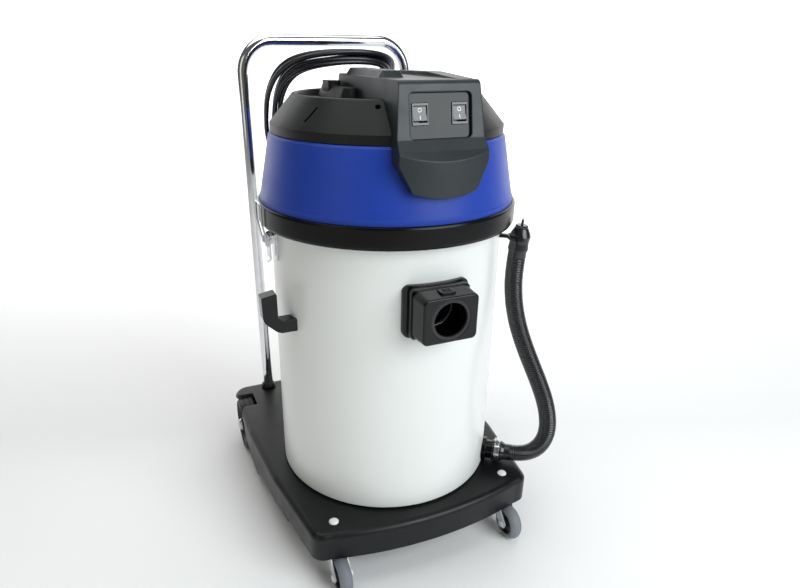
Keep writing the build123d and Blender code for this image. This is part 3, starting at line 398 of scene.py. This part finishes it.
def flat_piece(name, loops, thickness, origin, lean, body, material):
    """A flat piece parallel to X, leaning back by an angle; loops after the first are holes."""
    data = bpy.data.curves.new(name, "CURVE")
    data.dimensions = "2D"
    data.fill_mode = "BOTH"
    data.extrude = thickness / 2 * MM
    for loop in loops:
        spline = data.splines.new("POLY")
        spline.points.add(len(loop) - 1)
        for point, (x, y) in zip(spline.points, loop):
            point.co = (x * MM, y * MM, 0, 1)
        spline.use_cyclic_u = True
    drawn = bpy.data.objects.new(name, data)
    mesh = bpy.data.meshes.new_from_object(drawn)
    bpy.data.objects.remove(drawn)
    mesh.transform(Matrix.Translation(origin) @ Matrix.Rotation(math.pi / 2 - lean, 4, "X"))
    made = bpy.data.objects.new(name, mesh)
    bpy.context.scene.collection.objects.link(made)
    dress(made, material)
    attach(made, body)
    return made


PANEL_LEAN = math.radians(9.23)
ROCKER_LEAN = PANEL_LEAN + math.radians(8)
FACE_SLOPE = math.atan2(1.2, 10.5)  # each half of a rocker's face rises towards its end
holes = [rounded(26.3, 30.9, 1, side * 32.5, 2.7) for side in (-1, 1)]
flat_piece("switch_plate", [rounded(101.2, 64.5, 6.8), *holes], 1.0,
           Vector((0, -0.24049, 0.83793)), PANEL_LEAN, "head", GLOSS)
for name, side in zip(SIDES, (-1, 1)):
    up = Vector((0, math.sin(ROCKER_LEAN), math.cos(ROCKER_LEAN)))
    out = Vector((0, -math.cos(ROCKER_LEAN), math.sin(ROCKER_LEAN)))
    pivot = Vector((side * 0.0325, -0.2365, 0.84006))
    ring = [rounded(6.4, 6.4, 3.2), rounded(4.4, 4.4, 2.2)]
    flat_piece(f"mark_off_{name}", ring, 0.1, pivot + (5.4 * up + 4.27 * out) * MM,
               ROCKER_LEAN - FACE_SLOPE, f"switch_{name}", MARK)
    flat_piece(f"mark_on_{name}", [rounded(1.2, 6.2, 0.3)], 0.1, pivot + (-5.4 * up + 4.27 * out) * MM,
               ROCKER_LEAN + FACE_SLOPE, f"switch_{name}", MARK)


# ---------------------------------------------------------------- stage, light and camera
def stage():
    """A pale floor that curves up into a pale wall."""
    bm = bmesh.new()
    outline = [(-6.0, 0.0), (5.0, 0.0)]
    outline += [(5.0 + 2.0 * math.sin(t), 2.0 - 2.0 * math.cos(t))
                for t in (math.pi / 2 * k / 10 for k in range(1, 11))]
    outline.append((7.0, 7.0))
    rows = [[bm.verts.new((x, y, z)) for x in (-12, 12)] for y, z in outline]
    for a, b in zip(rows, rows[1:]):
        bm.faces.new((a[0], a[1], b[1], b[0]))
    mesh = bpy.data.meshes.new("studio")
    bm.to_mesh(mesh)
    bm.free()
    mesh.shade_smooth()
    made = bpy.data.objects.new("studio", mesh)
    bpy.context.scene.collection.objects.link(made)
    material, tree, shader = new_material("studio_white")
    shader.inputs["Base Color"].default_value = (0.93, 0.93, 0.93, 1)
    shader.inputs["Roughness"].default_value = 0.9
    shader.inputs["Specular IOR Level"].default_value = 0.1
    # the far wall glows a little, so that it stays as pale as the floor
    place = node(tree, "ShaderNodeTexCoord")
    split = node(tree, "ShaderNodeSeparateXYZ")
    tree.links.new(place.outputs["Object"], split.inputs["Vector"])
    shader.inputs["Emission Color"].default_value = (1, 1, 1, 1)
    tree.links.new(mapped(tree, split.outputs["Y"], 0.0, 1.2, 0.2, 3.2), shader.inputs["Emission Strength"])
    mesh.materials.append(material)
    made.rotation_euler = (0, 0, math.radians(-20))


def area_light(name, place, aim, size, power, colour=(1, 1, 1)):
    data = bpy.data.lights.new(name, "AREA")
    data.shape = "RECTANGLE"
    data.size, data.size_y = size
    data.energy = power
    data.color = colour
    made = bpy.data.objects.new(name, data)
    bpy.context.scene.collection.objects.link(made)
    made.location = place
    made.rotation_euler = (Vector(aim) - Vector(place)).to_track_quat("-Z", "Y").to_euler()
    return made


def camera():
    turn, tilt, roll = (math.radians(a) for a in (-23.021, 24.078, 0.477))
    back = Vector((math.sin(turn) * math.cos(tilt), -math.cos(turn) * math.cos(tilt), math.sin(tilt)))
    level = Vector((math.cos(turn), math.sin(turn), 0))
    upright = back.cross(level)
    right = math.cos(roll) * level + math.sin(roll) * upright
    up = math.cos(roll) * upright - math.sin(roll) * level
    data = bpy.data.cameras.new("camera")
    data.lens = 26.957
    data.sensor_width = 36
    data.shift_x = 0.0188
    data.shift_y = 0.0264
    made = bpy.data.objects.new("camera", data)
    facing = Matrix((right, up, back)).transposed().to_4x4()
    made.matrix_world = Matrix.Translation((-0.4321, -1.0579, 0.9287)) @ facing
    bpy.context.scene.collection.objects.link(made)
    bpy.context.scene.camera = made


stage()
world = bpy.data.worlds.new("studio")
bpy.context.scene.world = world
world.use_nodes = True
world.node_tree.nodes["Background"].inputs["Color"].default_value = (0.95, 0.97, 1.0, 1)
world.node_tree.nodes["Background"].inputs["Strength"].default_value = 0.12
area_light("key", (1.0, -2.3, 1.7), (0, 0, 0.55), (1.8, 1.8), 62, (0.93, 0.98, 1.0))
area_light("fill", (-2.4, -1.2, 1.3), (0, 0, 0.45), (1.4, 2.0), 7, (1.0, 0.93, 0.76))
area_light("top", (-0.2, 0.2, 3.0), (0, 0, 0.5), (2.4, 2.4), 38, (1, 1, 1))
camera()
bpy.context.scene.view_settings.view_transform = "Standard"
